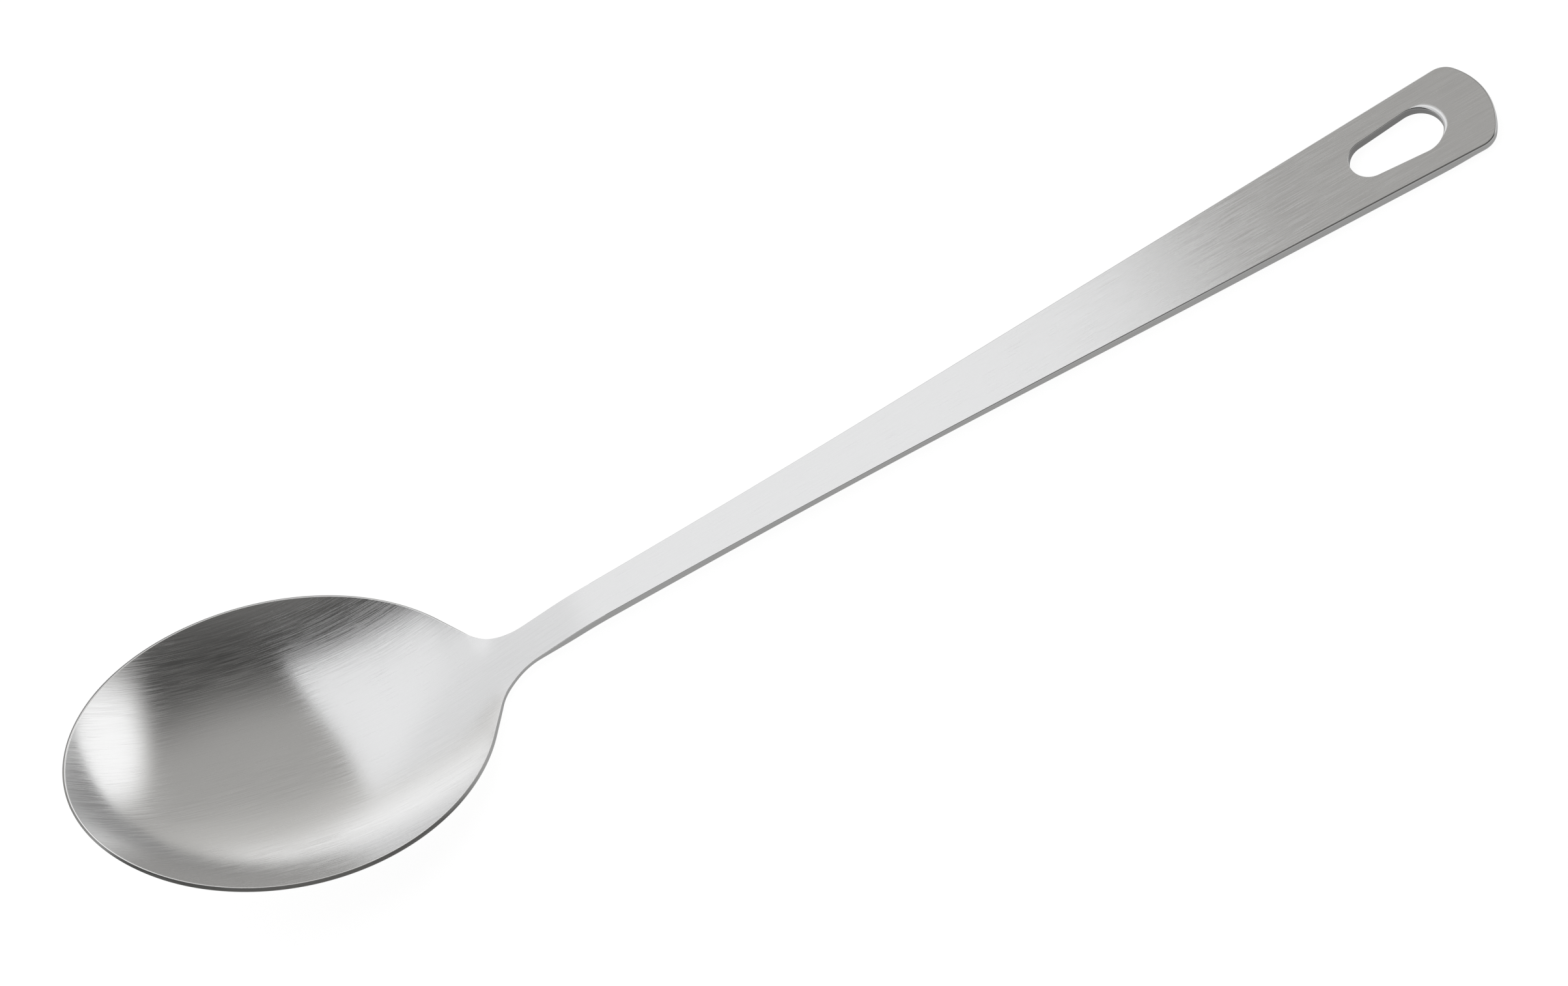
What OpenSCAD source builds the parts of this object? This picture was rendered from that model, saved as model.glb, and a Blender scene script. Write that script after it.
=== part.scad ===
// Serving spoon, pressed from one blank of brushed stainless sheet.
// It lies as on a table: on the underside of the bowl and on the tip of the handle.
// +X runs from the bowl to the handle, +Z is up, and the origin is under the middle of the whole spoon.
// The bowl and the neck are set out in the rim's own frame, with x along the spoon from the middle
// of the bowl and z up from the rim. The handle is set out along its own top face.

/* [Bowl] */
// Length of the bowl inside its rim
bowl_length = 95; // [75:1:120]
// Width of the bowl inside its rim
bowl_width = 71.7; // [55:0.5:90]
// Depth of the bowl below the sides of its rim
bowl_depth = 11.5; // [9.5:0.1:14]
// Thickness of the sheet in the bowl
bowl_sheet = 1; // [0.8:0.1:1.6]
// Thickness of the sheet at the tip of the bowl
tip_sheet = 0.85; // [0.7:0.05:1]
// Angle by which the rim's edge is ground from square towards level
edge_rake_angle = 13; // [0:1:20]
// Height of the rim's tip above the rim's sides
rim_tip_height = 1.8; // [0:0.1:4]
// Angle of the wall below the tip, from the rim
tip_wall_angle = 36.5; // [32:0.5:41]
// Radius of the bottom along the spoon
bottom_radius = 78; // [68:1:90]
// Distance of the lowest place from the middle of the bowl, towards the neck
bottom_offset = 7.2; // [4:0.2:10]

/* [Neck] */
// Distance from the end of the rim's ellipse to the straight handle
neck_reach = 25.6; // [20:0.2:34]
// Height of the straight handle's start above the rim
neck_height = 14.2; // [11:0.1:18]
// Width of the neck
neck_width = 9; // [7:0.1:12]
// Angle round the rim at which its outline runs straight on towards the neck
neck_turn_angle = 28; // [25:1:31]
// Radius of the outline between the rim and the neck
neck_fillet = 13.5; // [9:0.5:15]
// Slope of the sheet where the bowl's wall becomes the neck
knee_angle = 29.4; // [26:0.2:33]
// Distance over which the rim eases into the rising neck
rim_blend_length = 0.9; // [0.6:0.1:3]

/* [Handle] */
// Length of the straight handle, from the neck to the tip
handle_length = 222; // [170:1:280]
// Slope of the handle from the rim
handle_angle = 21.75; // [18:0.25:25]
// Distance from the neck at which the sides become straight
flare_end = 84.5; // [60:0.5:110]
// Width where the sides become straight
flare_width = 13.2; // [11:0.1:16]
// Width across the far end of the slot
end_width = 22.4; // [19:0.1:27]
// Radius of the tip
tip_radius = 16.5; // [14:0.1:22]
// Radius of the tip's two corners
corner_radius = 5; // [2:0.1:6]
// Thickness at the neck
neck_thickness = 2.2; // [1.8:0.1:3]
// Thickness at the waist, where the blank is rolled thinnest
waist_thickness = 1.8; // [1.4:0.1:2.6]
// Thickness at the tip
end_thickness = 2.5; // [2:0.1:3.5]

/* [Hanging slot] */
// Radius of the slot's narrow end
slot_near_radius = 4.75; // [3:0.05:5.5]
// Radius of the slot's wide end
slot_far_radius = 5.8; // [5.6:0.05:7]
// Distance between the centres of the two ends
slot_pitch = 11.7; // [8:0.1:20]
// Distance from the wide end's centre to the tip
slot_from_tip = 17.4; // [15:0.1:24]

/* [Hidden] */

// How far a cut runs past the face that it opens
overrun = 1;

// Half sizes
half_length = bowl_length / 2;
half_width = bowl_width / 2;
half_neck = neck_width / 2;

// Power of the bowl's sections: 2 is a paraboloid, and more is flatter at the bottom
fullness_power = 2.33;
// How far the rim is fuller towards the neck, and narrower towards both ends, than an ellipse
fuller_share = 0.016;
narrower_share = 0.015;
// Where the bowl's wall becomes the neck, as shares of the neck's reach and height
knee_reach_share = 0.37;
knee_height_share = 0.42;
// Change of slope at the tip and at the knee, as shares of the change at the bottom
tip_bend_share = 1.1;
knee_bend_share = -0.5;
// Where the thinner sheet of the tip ends, as a share of half the bowl's length
tip_thin_share = 0.4;
// Where the thicker sheet of the neck begins and ends, as shares of the neck's reach
swell_from_share = 0.18;
swell_to_share = 0.85;
// Where the handle's sides are aimed from the neck, as a share of the flare's length
flare_aim_share = 0.48;
// Where the waist and the full end thickness lie, as shares of the handle's length
waist_share = 0.34;
full_share = 0.72;

// Counts of stations and points
bowl_stations = 30;
straight_stations = 3;
fillet_stations = 8;
neck_stations = 5;
side_points = 12;
flare_steps = 8;
corner_steps = 12;
tip_steps = 16;
underside_steps = 24;
tilt_steps = 32;

knee_x = half_length + neck_reach * knee_reach_share;
knee_z = neck_height * knee_height_share;
start_x = half_length + neck_reach;
start_z = neck_height;

// Smooth step from 0 to 1
function ease(t) = let (c = max(0, min(1, t))) c * c * c * (10 - 15 * c + 6 * c * c);

// Curve through two ends [x, z, slope, change of slope], as a fifth-degree polynomial in x
function span(a, b, x) =
    let (h = b[0] - a[0], t = (x - a[0]) / h, t3 = t * t * t, t4 = t3 * t, t5 = t4 * t)
    a[1] * (1 - 10 * t3 + 15 * t4 - 6 * t5)
    + a[2] * h * (t - 6 * t3 + 8 * t4 - 3 * t5)
    + a[3] * h * h * (t * t - 3 * t3 + 3 * t4 - t5) / 2
    + b[3] * h * h * (t3 - 2 * t4 + t5) / 2
    + b[2] * h * (7 * t4 - 4 * t3 - 3 * t5)
    + b[1] * (10 * t3 - 15 * t4 + 6 * t5);

// Top surface along the middle of the spoon, from the tip of the bowl to the handle
tip_end = [-half_length, rim_tip_height, -tan(tip_wall_angle), tip_bend_share / bottom_radius];
bottom_end = [bottom_offset, -bowl_depth, 0, 1 / bottom_radius];
knee_end = [knee_x, knee_z, tan(knee_angle), knee_bend_share / bottom_radius];
handle_end = [start_x, start_z, tan(handle_angle), 0];
function middle_z(x) =
    x < bottom_offset ? span(tip_end, bottom_end, x)
    : x < knee_x ? span(bottom_end, knee_end, x)
    : span(knee_end, handle_end, x);

// Height of the top surface's edge: the swept rim, which eases into the rising neck
function edge_z(x) =
    let (swept = rim_tip_height * pow(x / half_length, 2), climb = middle_z(x) - swept,
         eased = rim_blend_length * ease(x / half_length) * (1 - ease((x - knee_x) / (start_x - knee_x))))
    swept + (climb + sqrt(climb * climb + eased * eased)) / 2;

// Share of the way from the middle height to the edge height, at v half-widths from the middle
function section_share(v, x) =
    let (along = min(1, abs(x) / half_length), full = pow(along, fullness_power),
         radial = along * along + (1 - along * along) * v * v)
    full > 0.999 ? v * v : (pow(radial, fullness_power / 2) - full) / (1 - full);

// Thickness of the sheet along the bowl and neck
function sheet(x) =
    tip_sheet + (bowl_sheet - tip_sheet) * ease((x + half_length) / (half_length * tip_thin_share))
    + (neck_thickness - bowl_sheet)
    * ease((x - half_length - neck_reach * swell_from_share)
           / (neck_reach * (swell_to_share - swell_from_share)));

// How far the rim's ground edge leans outwards for each millimetre of sheet
function lean(x) = tan(edge_rake_angle) * max(0, 1 - pow(x / half_length, 4));

// Point of the rim at an angle round it: a nearly elliptical outline
function rim_point(a) =
    let (c = cos(a), shape = 1 + fuller_share * c - narrower_share * c * c)
    [half_length * c, half_width * sin(a) * shape];

// Outline from above: the rim, its straight run towards the neck, the fillet and the neck's straight side
turn = rim_point(neck_turn_angle);
turn_normal = let (c = cos(neck_turn_angle), s = sin(neck_turn_angle),
    rise = half_width * (c * (1 + fuller_share * c - narrower_share * c * c)
                         - s * s * (fuller_share - 2 * narrower_share * c)),
    n = [rise, half_length * s]) n / norm(n);
fillet_x = turn[0]
    + (neck_fillet + (turn[1] - half_neck - neck_fillet) * turn_normal[1]) / turn_normal[0];
fillet_from = atan2(turn_normal[1], turn_normal[0]);
fillet_start = [fillet_x, half_neck + neck_fillet] - neck_fillet * turn_normal;
outline = concat(
    [for (i = [1 : bowl_stations]) rim_point(180 - (180 - neck_turn_angle) * i / bowl_stations)],
    [for (i = [1 : straight_stations]) turn + (fillet_start - turn) * i / straight_stations],
    [for (i = [1 : fillet_stations]) let (a = fillet_from + (90 - fillet_from) * i / fillet_stations)
        [fillet_x - neck_fillet * cos(a), half_neck + neck_fillet * (1 - sin(a))]],
    [for (i = [1 : neck_stations]) [fillet_x + (start_x - fillet_x) * i / neck_stations, half_neck]]);
last = len(outline) - 1;

// Top surface: one row of points for each place along the outline, closer together towards the edges
top = [for (p = outline) let (middle = middle_z(p[0]), edge = edge_z(p[0]))
    [for (j = [-side_points : side_points]) let (v = sin(90 * j / side_points))
        [p[0], p[1] * v, middle + (edge - middle) * section_share(v, p[0])]]];
top_tip = [-half_length, 0, rim_tip_height];
tip_normal = [sin(tip_wall_angle), 0, cos(tip_wall_angle)];
handle_normal = [-sin(handle_angle), 0, cos(handle_angle)];
row_last = 2 * side_points;

// Upward unit normal of the top surface at row i and point j
function top_normal(i, j) =
    let (before = i == 0 ? top_tip : top[i - 1][j], after = top[i + 1][j],
         left = top[i][max(0, j - 1)], right = top[i][min(row_last, j + 1)],
         n = cross(after - before, right - left))
    i == last ? handle_normal : n / norm(n);

// Direction out of the rim, in the surface, at row i: for the edge at +y, or its mirror image at -y
function edge_out(i, j) =
    let (before = i == 0 ? top_tip : top[i - 1][j], run = (top[i + 1][j] - before) / norm(top[i + 1][j] - before),
         n = cross(top_normal(i, j), run))
    n * sign(n[1] * top[i][j][1]);

// Underside: the top surface, offset squarely by the sheet's thickness, and out to the ground edge
under = [for (i = [0 : last]) [for (j = [0 : row_last]) let (x = top[i][j][0])
    top[i][j] + sheet(x) * (i == last ? -handle_normal
        : (j == 0 || j == row_last ? lean(x) * edge_out(i, j) : [0, 0, 0]) - top_normal(i, j))]];
under_tip = top_tip - tip_sheet * tip_normal;

// Handle, along its top face: u from the neck to the tip, y across, n up from the face
far_u = handle_length - slot_from_tip;
near_u = far_u - slot_pitch;
side_slope = (end_width - flare_width) / 2 / (far_u - flare_end);
function side_y(u) = end_width / 2 + side_slope * (u - far_u);
aim = [flare_end * flare_aim_share, side_y(flare_end * flare_aim_share)];
function flare_point(t) =
    (1 - t) * (1 - t) * [0, half_neck] + 2 * t * (1 - t) * aim + t * t * [flare_end, flare_width / 2];

// Thickness of the handle at u
function handle_sheet(u) =
    let (waist = handle_length * waist_share, full = handle_length * full_share)
    u < waist ? neck_thickness + (waist_thickness - neck_thickness) * ease(u / waist)
    : waist_thickness + (end_thickness - waist_thickness) * ease((u - waist) / (full - waist));

// Corner circle, tangent inside the tip's arc and to the straight side
tip_centre = handle_length - tip_radius;
side_turn = atan(side_slope);
corner_base = side_y(tip_centre) - corner_radius / cos(side_turn);
corner_throw = tip_radius - corner_radius;
corner_run = let (s = 1 + side_slope * side_slope, b = corner_base * side_slope)
    (sqrt(b * b - s * (corner_base * corner_base - corner_throw * corner_throw)) - b) / s;
corner = [tip_centre + corner_run, corner_base + side_slope * corner_run];

// Tilt that brings the bowl's underside and the handle's tip down to one level
function turned(p, tilt) = [p[0] * cos(tilt) + p[1] * sin(tilt), p[1] * cos(tilt) - p[0] * sin(tilt)];
function on_handle(u, n) = [start_x, start_z]
    + u * [cos(handle_angle), sin(handle_angle)] + n * [-sin(handle_angle), cos(handle_angle)];
bowl_line = [for (row = under) [row[side_points][0], row[side_points][2]]];
foot = on_handle(handle_length, -end_thickness);
function lowest(tilt) = min([for (p = bowl_line) turned(p, tilt)[1]]);
function settle(low, high, steps) =
    let (tilt = (low + high) / 2)
    steps == 0 ? tilt
    : turned(foot, tilt)[1] > lowest(tilt) ? settle(tilt, high, steps - 1)
    : settle(low, tilt, steps - 1);
rest_tilt = settle(0, 60, tilt_steps);
rest_low = lowest(rest_tilt);
rest_from = min(turned([top_tip[0], top_tip[2]], rest_tilt)[0],
                turned([under_tip[0], under_tip[2]], rest_tilt)[0]);
rest_to = max(turned(foot, rest_tilt)[0], turned(on_handle(handle_length, 0), rest_tilt)[0]);

// Number of a point of the bowl's solid: side 0 is the top, side 1 the underside, and row -1 the tip
row_size = row_last + 1;
side_size = 1 + (last + 1) * row_size;
function id(side, i, j) = side * side_size + (i < 0 ? 0 : 1 + i * row_size + j);
function quad(a, b, c, d) = [[a, b, c], [a, c, d]];
function joined(lists) = [for (part = lists) for (item = part) item];

// Puts the rim's frame onto the table
module at_rest() {
    translate([-(rest_from + rest_to) / 2, 0, -rest_low])
        rotate([0, rest_tilt, 0])
            children();
}

// Bowl and neck: a shell with square edges, open towards the handle only as a flat end face
module bowl() {
    points = concat([top_tip], joined(top), [under_tip], joined(under));
    tip_fans = [for (j = [0 : row_last - 1]) each [
        [id(0, -1, 0), id(0, 0, j + 1), id(0, 0, j)],
        [id(1, -1, 0), id(1, 0, j), id(1, 0, j + 1)]]];
    faces = [for (i = [0 : last - 1], j = [0 : row_last - 1]) each concat(
        quad(id(0, i, j), id(0, i, j + 1), id(0, i + 1, j + 1), id(0, i + 1, j)),
        quad(id(1, i, j), id(1, i + 1, j), id(1, i + 1, j + 1), id(1, i, j + 1)))];
    edges = [for (i = [-1 : last - 1]) each concat(
        quad(id(0, i, 0), id(0, i + 1, 0), id(1, i + 1, 0), id(1, i, 0)),
        quad(id(0, i, row_last), id(1, i, row_last), id(1, i + 1, row_last), id(0, i + 1, row_last)))];
    end_face = [for (j = [0 : row_last - 1]) each
        quad(id(0, last, j), id(0, last, j + 1), id(1, last, j + 1), id(1, last, j))];
    color("silver")
        at_rest()
            polyhedron(points, concat(tip_fans, faces, edges, end_face), convexity = 6);
}

// Points of an arc that turns clockwise, from the first angle to the second
function arc(centre, radius, from, to, steps) =
    [for (i = [0 : steps]) let (a = from + (to - from) * i / steps) centre + radius * [cos(a), sin(a)]];

// Outline of the handle from above: the flare, the straight side, the corner's arc and the tip's arc
module handle_outline() {
    tip_half_angle = atan2(corner[1], corner[0] - tip_centre);
    side = concat([for (i = [0 : flare_steps]) flare_point(i / flare_steps)],
                  arc(corner, corner_radius, 90 + side_turn, tip_half_angle, corner_steps),
                  [for (i = [1 : tip_steps]) let (a = tip_half_angle * (1 - i / tip_steps))
                      [tip_centre, 0] + tip_radius * [cos(a), sin(a)]]);
    polygon(concat(side, [for (i = [len(side) - 2 : -1 : 0]) [side[i][0], -side[i][1]]]));
}

// Outline of the hanging slot: two round ends and the tangents between them
module slot_outline() {
    lean = asin((slot_far_radius - slot_near_radius) / slot_pitch);
    touch = [-sin(lean), cos(lean)];
    near = [near_u, 0] + slot_near_radius * touch;
    far = [far_u, 0] + slot_far_radius * touch;
    polygon([near, far, [far[0], -far[1]], [near[0], -near[1]]]);
    intersection() {
        translate([near_u, 0])
            circle(r = slot_near_radius, $fn = 96);
        translate([near[0] - 2 * slot_near_radius, -slot_near_radius])
            square(2 * slot_near_radius);
    }
    intersection() {
        translate([far_u, 0])
            circle(r = slot_far_radius, $fn = 96);
        translate([far[0], -slot_far_radius])
            square(2 * slot_far_radius);
    }
}

// Handle: a flat top face, a rolled underside that is thinnest at the waist, and the hanging slot
module handle() {
    thickest = max(neck_thickness, end_thickness, waist_thickness);
    underside = [for (i = [underside_steps : -1 : 0]) let (u = handle_length * i / underside_steps)
        [u, -handle_sheet(u)]];
    color("gainsboro")
        at_rest()
            translate([start_x, 0, start_z])
                rotate([0, -handle_angle, 0])
                    difference() {
                        intersection() {
                            translate([0, 0, -thickest - overrun])
                                linear_extrude(thickest + 2 * overrun)
                                    handle_outline();
                            rotate([90, 0, 0])
                                linear_extrude(end_width + 2 * tip_radius, center = true)
                                    polygon(concat([[0, 0], [handle_length, 0]], underside));
                        }
                        translate([0, 0, -thickest - overrun])
                            linear_extrude(thickest + 2 * overrun)
                                slot_outline();
                    }
}

bowl();
handle();
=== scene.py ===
"""Serving spoon in brushed stainless steel, on a pale studio table."""

import logging
import math
from dataclasses import dataclass, field
from enum import Enum
from functools import cached_property

import bpy
from mathutils import Matrix, Vector
from mathutils.geometry import tessellate_polygon


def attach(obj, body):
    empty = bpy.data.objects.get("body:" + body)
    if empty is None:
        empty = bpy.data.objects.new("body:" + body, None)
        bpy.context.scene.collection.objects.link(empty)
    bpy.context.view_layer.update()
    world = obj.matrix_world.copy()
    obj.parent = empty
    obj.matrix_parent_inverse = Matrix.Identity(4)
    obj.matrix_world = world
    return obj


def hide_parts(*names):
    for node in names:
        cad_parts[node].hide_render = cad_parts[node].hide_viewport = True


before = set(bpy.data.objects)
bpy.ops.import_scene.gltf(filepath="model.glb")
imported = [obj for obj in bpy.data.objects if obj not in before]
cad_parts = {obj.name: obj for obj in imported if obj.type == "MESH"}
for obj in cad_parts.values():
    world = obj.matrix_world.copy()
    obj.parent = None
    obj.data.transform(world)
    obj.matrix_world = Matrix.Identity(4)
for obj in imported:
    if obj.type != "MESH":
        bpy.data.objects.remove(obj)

log = logging.getLogger("serving_spoon")

Socket = bpy.types.NodeSocket
Finishes = list[bpy.types.Material]
Place = tuple[float, float, float]
EdgePoint = tuple[Vector, Vector, float]

MILLIMETRE = 0.001
# Places closer than this, in millimetres, are one place.
TOUCHING = 1e-6
BRUSH_MAP = "brushing"
QUARTER_TURN = 0.25
WHITE = (1.0, 1.0, 1.0)


class Region(Enum):
    """Kinds of surface on the spoon, in the order of each piece's material slots."""

    BRUSHED_FACE = 0
    EASED_CORNER = 1
    GROUND_EDGE = 2
    PUNCHED_WALL = 3


def ease(t: float) -> float:
    """Smooth step from 0 to 1 with no change of slope at its ends.

    Args:
        t: How far along the step, clamped to 0..1.

    Returns:
        The eased share.
    """
    c = max(0.0, min(1.0, t))
    return c * c * c * (10 - 15 * c + 6 * c * c)


def arc(centre: tuple[float, float], radius: float, start: float, end: float, steps: int) -> list[Place]:
    """Places along an arc in a flat face.

    Args:
        centre: The arc's centre.
        radius: Its radius.
        start: Angle of its first place, in radians.
        end: Angle of its last place.
        steps: How many steps lie between the two.

    Returns:
        Each place, as its two coordinates and its angle.
    """
    angles = [start + (end - start) * i / steps for i in range(steps + 1)]
    return [(centre[0] + radius * math.cos(a), centre[1] + radius * math.sin(a), a) for a in angles]


def rounding(
    centre: Vector, radius: float, axes: tuple[Vector, Vector], turn: float, steps: int, down: float = 0.0
) -> list[EdgePoint]:
    """Places along the profile of a rounded edge.

    Args:
        centre: Centre of the rounding.
        radius: Its radius.
        axes: The direction in which it starts and the one towards which it turns.
        turn: How far it turns, in radians.
        steps: In how many steps.
        down: Length of edge before it.

    Returns:
        Points, normals and lengths down the edge.
    """
    made = []
    for k in range(steps + 1):
        a = turn * k / steps
        normal = axes[0] * math.cos(a) + axes[1] * math.sin(a)
        made.append((centre + normal * radius, normal, down + a * radius))
    return made


@dataclass(frozen=True)
class Knot:
    """A point of the spoon's middle line, in millimetres, with its slope and its change of slope."""

    x: float
    z: float
    slope: float
    bend: float

    def span(self, end: "Knot", x: float) -> float:
        """Height of the fifth-degree curve from this knot to the next.

        Args:
            end: The knot at the far end.
            x: Where along the spoon.

        Returns:
            The height at x.
        """
        h = end.x - self.x
        t = (x - self.x) / h
        t2, t3, t4, t5 = t * t, t**3, t**4, t**5
        return (
            self.z * (1 - 10 * t3 + 15 * t4 - 6 * t5)
            + self.slope * h * (t - 6 * t3 + 8 * t4 - 3 * t5)
            + self.bend * h * h * (t2 - 3 * t3 + 3 * t4 - t5) / 2
            + end.bend * h * h * (t3 - 2 * t4 + t5) / 2
            + end.slope * h * (7 * t4 - 4 * t3 - 3 * t5)
            + end.z * (10 * t3 - 15 * t4 + 6 * t5)
        )


@dataclass(frozen=True)
class Spot:
    """One place on the blank: its top and underside points and the outward normals there."""

    top: Vector
    up: Vector
    under: Vector
    down: Vector


@dataclass(frozen=True)
class Station:
    """One place along the outline of the blank, seen from above.

    s runs along the spoon, y across it, foot is where its row of points starts on the middle
    line, (out_s, out_y) points out of the blank, and run is the length of edge before it.
    """

    s: float
    y: float
    foot: float
    out_s: float
    out_y: float
    run: float = 0.0


@dataclass(frozen=True)
class BowlForm:
    """Sizes of the bowl and the neck, in millimetres and degrees, in the frame of the bowl's rim.

    Nearer to the tip than tip_hold, the wall's fall is the one at tip_hold. Past full_across of the
    half length, a cross-section of the neck is a plain parabola.
    """

    half_length: float = 47.5
    half_width: float = 35.85
    depth: float = 11.5
    sheet: float = 1.0
    tip_sheet: float = 0.85
    tip_thin_share: float = 0.4
    edge_rake_angle: float = 13.0
    rake_fade_power: int = 4
    rim_tip_height: float = 1.8
    tip_wall_angle: float = 36.5
    bottom_radius: float = 78.0
    bottom_offset: float = 7.2
    fullness_power: float = 2.33
    fuller_share: float = 0.016
    narrower_share: float = 0.015
    neck_reach: float = 25.6
    neck_height: float = 14.2
    half_neck: float = 4.5
    neck_turn_angle: float = 28.0
    neck_fillet: float = 13.5
    knee_angle: float = 29.4
    knee_reach_share: float = 0.37
    knee_height_share: float = 0.42
    rim_blend_length: float = 0.9
    swell_from_share: float = 0.18
    swell_to_share: float = 0.85
    neck_sheet: float = 2.2
    handle_angle: float = 21.75
    tip_bend_share: float = 1.1
    knee_bend_share: float = -0.5
    tip_hold: float = 0.2
    full_across: float = 0.9995
    slope_step: float = 0.02
    rim_steps: int = 92
    run_steps: int = 7
    fillet_steps: int = 24
    neck_steps: int = 14

    @cached_property
    def start_x(self) -> float:
        """Where the straight handle starts."""
        return self.half_length + self.neck_reach

    @cached_property
    def knots(self) -> tuple[Knot, Knot, Knot, Knot]:
        """Tip, bottom, knee and start of the handle, along the middle line."""
        bend = 1 / self.bottom_radius
        return (
            Knot(
                -self.half_length,
                self.rim_tip_height,
                -math.tan(math.radians(self.tip_wall_angle)),
                self.tip_bend_share * bend,
            ),
            Knot(self.bottom_offset, -self.depth, 0.0, bend),
            Knot(
                self.half_length + self.neck_reach * self.knee_reach_share,
                self.neck_height * self.knee_height_share,
                math.tan(math.radians(self.knee_angle)),
                self.knee_bend_share * bend,
            ),
            Knot(self.start_x, self.neck_height, math.tan(math.radians(self.handle_angle)), 0.0),
        )

    def middle_z(self, x: float) -> float:
        """Height of the top surface on the middle line.

        Args:
            x: Along the spoon, from the middle of the bowl.

        Returns:
            The height above the rim's sides.
        """
        tip, bottom, knee, start = self.knots
        if x >= start.x:
            return start.z + start.slope * (x - start.x)
        if x < bottom.x:
            return tip.span(bottom, x)
        return bottom.span(knee, x) if x < knee.x else knee.span(start, x)

    def edge_z(self, x: float) -> float:
        """Height of the top surface at the outline: the swept rim, easing into the rising neck.

        Args:
            x: Along the spoon, from the middle of the bowl.

        Returns:
            The height above the rim's sides.
        """
        swept = self.rim_tip_height * (x / self.half_length) ** 2
        climb = self.middle_z(x) - swept
        knee = self.knots[2]
        fade = 1 - ease((x - knee.x) / (self.start_x - knee.x))
        eased = self.rim_blend_length * ease(x / self.half_length) * fade
        return swept + (climb + math.hypot(climb, eased)) / 2

    def sheet_at(self, x: float) -> float:
        """Thickness of the sheet, which is thinner at the tip and swells into the neck.

        Args:
            x: Along the spoon, from the middle of the bowl.

        Returns:
            The thickness.
        """
        reach = self.neck_reach
        share = (x - self.half_length - reach * self.swell_from_share) / (
            reach * (self.swell_to_share - self.swell_from_share)
        )
        tip_share = (x + self.half_length) / (self.half_length * self.tip_thin_share)
        thin = self.tip_sheet + (self.sheet - self.tip_sheet) * ease(tip_share)
        return thin + (self.neck_sheet - self.sheet) * ease(share)

    def rake_at(self, x: float) -> float:
        """Angle, in radians, by which the rim's ground edge leans from square towards level."""
        lean = max(0.0, 1 - (x / self.half_length) ** self.rake_fade_power)
        return math.atan(math.tan(math.radians(self.edge_rake_angle)) * lean)

    def rim_shape(self, c: float) -> float:
        """How much wider than an ellipse the rim is, at a cosine of the angle round it."""
        return 1 + self.fuller_share * c - self.narrower_share * c * c

    def rim_point(self, angle: float) -> tuple[float, float]:
        """Point of the rim at an angle round it, in radians."""
        c = math.cos(angle)
        return self.half_length * c, self.half_width * math.sin(angle) * self.rim_shape(c)

    def rim_rise(self, angle: float) -> float:
        """How fast the rim widens with the angle round it, as a share of the bowl's half width."""
        c, s = math.cos(angle), math.sin(angle)
        return c * self.rim_shape(c) - s * s * (self.fuller_share - 2 * self.narrower_share * c)

    def rim_out(self, angle: float) -> tuple[float, float]:
        """Unit outward normal of the rim's outline.

        Args:
            angle: The angle round the rim, in radians.

        Returns:
            The normal's two parts.
        """
        rise, run = self.half_width * self.rim_rise(angle), self.half_length * math.sin(angle)
        size = math.hypot(rise, run)
        return rise / size, run / size

    @cached_property
    def turn(self) -> tuple[float, float, float, float]:
        """Where the rim runs straight on towards the neck, and its outward normal there."""
        angle = math.radians(self.neck_turn_angle)
        return *self.rim_point(angle), *self.rim_out(angle)

    @cached_property
    def fillet_x(self) -> float:
        """Where the fillet ends and the neck's straight side starts."""
        x, y, out_x, out_y = self.turn
        return x + (self.neck_fillet + (y - self.half_neck - self.neck_fillet) * out_y) / out_x

    @cached_property
    def fillet_start(self) -> tuple[float, float]:
        """Where the straight run meets the fillet."""
        out_x, out_y = self.turn[2:]
        radius = self.neck_fillet
        return self.fillet_x - radius * out_x, self.half_neck + radius - radius * out_y

    def half_width_at(self, x: float) -> float:
        """Half the width of the outline of the bowl and the neck.

        Args:
            x: Along the spoon, from the middle of the bowl.

        Returns:
            The half width.
        """
        turn_x, turn_y, out_x, out_y = self.turn
        if x < turn_x:
            c = max(-1.0, x / self.half_length)
            return self.half_width * math.sqrt(1 - c * c) * self.rim_shape(c)
        if x < self.fillet_start[0]:
            return turn_y - (x - turn_x) * out_x / out_y
        if x < self.fillet_x:
            radius = self.neck_fillet
            return self.half_neck + radius - math.sqrt(radius**2 - (self.fillet_x - x) ** 2)
        return self.half_neck

    def height(self, x: float, y: float) -> float:
        """Height of the top surface.

        Args:
            x: Along the spoon, from the middle of the bowl.
            y: Across the spoon.

        Returns:
            The height above the rim's sides. Past the outline the surface runs on smoothly.
        """
        power = self.fullness_power
        across = max(-1.0, x / self.half_length)
        if x < self.turn[0]:
            square = (x / self.half_length) ** 2 + (y / self.half_width / self.rim_shape(across)) ** 2
            held = max(x, self.tip_hold - self.half_length)
            fall = (self.edge_z(held) - self.middle_z(held)) / (1 - abs(held / self.half_length) ** power)
            return self.edge_z(x) - fall * (1 - square ** (power / 2))
        v = (y / self.half_width_at(x)) ** 2
        if across < self.full_across:
            full = across**power
            square = across * across + (1 - across * across) * v
            v = (square ** (power / 2) - full) / (1 - full)
        middle = self.middle_z(x)
        return middle + (self.edge_z(x) - middle) * v

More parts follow.
